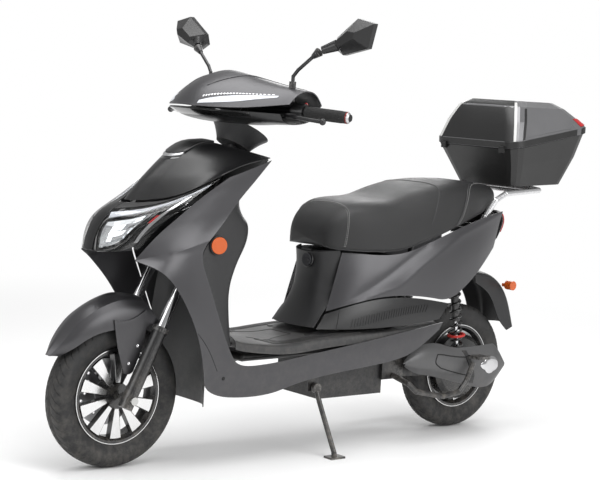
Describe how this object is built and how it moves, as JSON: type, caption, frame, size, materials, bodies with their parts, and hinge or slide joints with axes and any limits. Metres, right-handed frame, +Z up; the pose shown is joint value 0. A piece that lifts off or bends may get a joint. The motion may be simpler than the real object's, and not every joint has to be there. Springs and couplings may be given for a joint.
{
  "type": "moped scooter",
  "caption": "Step-through electric moped scooter with telescopic fork, hub motor, dual seat, side stand, mirrors and hinged rear luggage case.",
  "frame": {"origin": "on the ground under the middle of the bounding box", "axes": "+Z up, the front of the scooter faces -Y, +X is the rider's left"},
  "size_m": [0.894, 1.904, 1.251],
  "materials": {
    "painted_grey": "satin metallic paint over moulded plastic",
    "black_plastic": "fine grained satin",
    "gloss_black": "gloss",
    "clear_lens": "clear polycarbonate",
    "chrome": "polished",
    "black_steel": "semi gloss powder coat",
    "steel": "brushed",
    "cast_aluminium": "black coat with machined faces",
    "silver_tube": "silver paint",
    "grip_rubber": "moulded ribs",
    "tyre": "road tread",
    "seat_leather": "grained black leatherette, stitched",
    "amber_lens": "prismatic reflector",
    "battery_case": "sealed case"
  },
  "bodies": {
    "root": {"main_frame": "black_steel", "headset_bearings": "steel", "nose_hood": "black_plastic", "headlight_housing": "chrome", "headlight_lens": "clear_lens", "side_fairings": "painted_grey", "leg_shield": "black_plastic", "wheel_arch": "black_plastic", "floorboard": "black_plastic", "seat_pedestal": "black_plastic", "rear_side_panels": "painted_grey", "lower_side_panels": "black_plastic", "underseat_tub": "black_plastic", "battery_box": "black_plastic", "battery_pack": "battery_case", "motor_controller": "cast_aluminium", "footrest_bars": "black_steel", "rear_rack": "silver_tube", "topcase_base": "black_plastic", "tail_light": "clear_lens", "tail_cover": "painted_grey", "rear_fender": "black_plastic", "rear_indicators": "amber_lens", "side_reflectors": "amber_lens"},
    "steering": {"steering_stem": "black_steel", "fork_stanchions": "chrome", "handlebar": "black_steel", "bar_cowl": "painted_grey", "dash_display": "gloss_black", "left_grip": "grip_rubber", "switch_pods": "black_plastic", "mirror_arms": "black_steel"},
    "fork_slider": {"fork_lowers": "black_steel", "front_axle": "steel", "front_fender": "painted_grey", "brake_caliper": "cast_aluminium"},
    "front_wheel": {"front_rim": "cast_aluminium", "front_tyre": "tyre", "front_disc": "steel"},
    "throttle": {"throttle_grip": "grip_rubber"},
    "left_brake_lever": {"left_lever": "cast_aluminium"},
    "right_brake_lever": {"right_lever": "cast_aluminium"},
    "horn": {"horn_button": "grip_rubber"},
    "left_mirror": {"left_mirror_head": "gloss_black"},
    "right_mirror": {"right_mirror_head": "gloss_black"},
    "rear_arm": {"swingarm": "black_steel", "motor_cover": "painted_grey"},
    "rear_wheel": {"hub_motor": "cast_aluminium", "rear_tyre": "tyre"},
    "shock_upper": {"shock_bodies": "black_steel", "shock_springs": "black_steel"},
    "shock_lower": {"shock_rods": "black_steel"},
    "stand": {"side_stand": "black_steel"},
    "left_peg": {"left_footrest_peg": "steel"},
    "right_peg": {"right_footrest_peg": "steel"},
    "seat": {"seat_pad": "seat_leather", "seat_base": "black_plastic"},
    "case_lid": {"topcase_lid": "gloss_black"},
    "charge_door": {"charge_cap": "black_plastic"},
    "key": {"ignition_key": "chrome"}
  },
  "joints": [
    {"name": "steering_head", "type": "hinge", "parent": "root", "child": "steering", "pos_m": [0, -0.48781, 0.6484], "axis": [0, 0.4384, 0.8988], "range_deg": [-35, 35]},
    {"name": "fork_travel", "type": "slide", "parent": "steering", "child": "fork_slider", "axis": [0, 0.4384, 0.8988], "range_m": [0, 0.045], "stiffness_N_per_m": 9000, "springref_m": -0.07},
    {"name": "front_wheel_spin", "type": "hinge", "parent": "fork_slider", "child": "front_wheel", "pos_m": [0, -0.737, 0.199], "axis": [1, 0, 0], "continuous": true},
    {"name": "throttle_twist", "type": "hinge", "parent": "steering", "child": "throttle", "pos_m": [-0.2816, -0.27967, 0.98885], "axis": [-0.916, 0.3973, -0.0555], "range_deg": [0, 70], "stiffness_Nm_per_rad": 0.35, "springref_deg": -14.32},
    {"name": "left_brake_pull", "type": "hinge", "parent": "steering", "child": "left_brake_lever", "pos_m": [0.209, -0.353, 0.98], "axis": [0, 0, 1], "range_deg": [0, 18], "stiffness_Nm_per_rad": 2, "springref_deg": -5.73},
    {"name": "right_brake_pull", "type": "hinge", "parent": "steering", "child": "right_brake_lever", "pos_m": [-0.209, -0.353, 0.98], "axis": [0, 0, -1], "range_deg": [0, 18], "stiffness_Nm_per_rad": 2, "springref_deg": -5.73},
    {"name": "horn_press", "type": "slide", "parent": "steering", "child": "horn", "axis": [0, -0.7507, -0.6606], "range_m": [0, 0.002], "stiffness_N_per_m": 400, "springref_m": -0.001},
    {"name": "left_mirror_turn", "type": "hinge", "parent": "steering", "child": "left_mirror", "pos_m": [0.284, -0.309, 1.161], "axis": [0, 0, 1], "range_deg": [-12, 12]},
    {"name": "right_mirror_turn", "type": "hinge", "parent": "steering", "child": "right_mirror", "pos_m": [-0.284, -0.309, 1.161], "axis": [0, 0, 1], "range_deg": [-12, 12]},
    {"name": "rear_suspension", "type": "hinge", "parent": "root", "child": "rear_arm", "pos_m": [0, 0.218, 0.215], "axis": [1, 0, 0], "range_deg": [0, 6], "stiffness_Nm_per_rad": 1100, "springref_deg": -17.19},
    {"name": "rear_wheel_spin", "type": "hinge", "parent": "rear_arm", "child": "rear_wheel", "pos_m": [0, 0.563, 0.199], "axis": [1, 0, 0], "continuous": true},
    {"name": "shock_swing", "type": "hinge", "parent": "root", "child": "shock_upper", "pos_m": [0, 0.438, 0.51], "axis": [1, 0, 0], "range_deg": [0, 2]},
    {"name": "shock_stroke", "type": "slide", "parent": "shock_upper", "child": "shock_lower", "axis": [0, -0.1477, 0.989], "range_m": [0, 0.04], "deforming": ["shock_springs"]},
    {"name": "stand_fold", "type": "hinge", "parent": "root", "child": "stand", "pos_m": [0.114, -0.104, 0.19], "axis": [1, 0, 0], "range_deg": [0, 85]},
    {"name": "left_peg_fold", "type": "hinge", "parent": "root", "child": "left_peg", "pos_m": [0.172, 0.495, 0.256], "axis": [0, -1, 0], "range_deg": [0, 80]},
    {"name": "right_peg_fold", "type": "hinge", "parent": "root", "child": "right_peg", "pos_m": [-0.172, 0.495, 0.256], "axis": [0, 1, 0], "range_deg": [0, 80]},
    {"name": "seat_hinge", "type": "hinge", "parent": "root", "child": "seat", "pos_m": [0, -0.073, 0.584], "axis": [1, 0, 0], "range_deg": [0, 70]},
    {"name": "case_lid_hinge", "type": "hinge", "parent": "root", "child": "case_lid", "pos_m": [0, 0.592, 0.911], "axis": [1, 0, 0], "range_deg": [0, 75]},
    {"name": "charge_cap_twist", "type": "hinge", "parent": "root", "child": "charge_door", "pos_m": [0.014, -0.086, 0.556], "axis": [0, -1, 0], "range_deg": [0, 90]},
    {"name": "key_turn", "type": "hinge", "parent": "root", "child": "key", "pos_m": [-0.07, -0.417, 0.742], "axis": [0, 1, 0], "range_deg": [0, 90]}
  ],
  "couplings": [
    {"joint": "shock_swing", "follows": "rear_suspension", "ratio": 0.06899},
    {"joint": "shock_stroke", "follows": "rear_suspension", "m_per_rad": 0.26228}
  ]
}
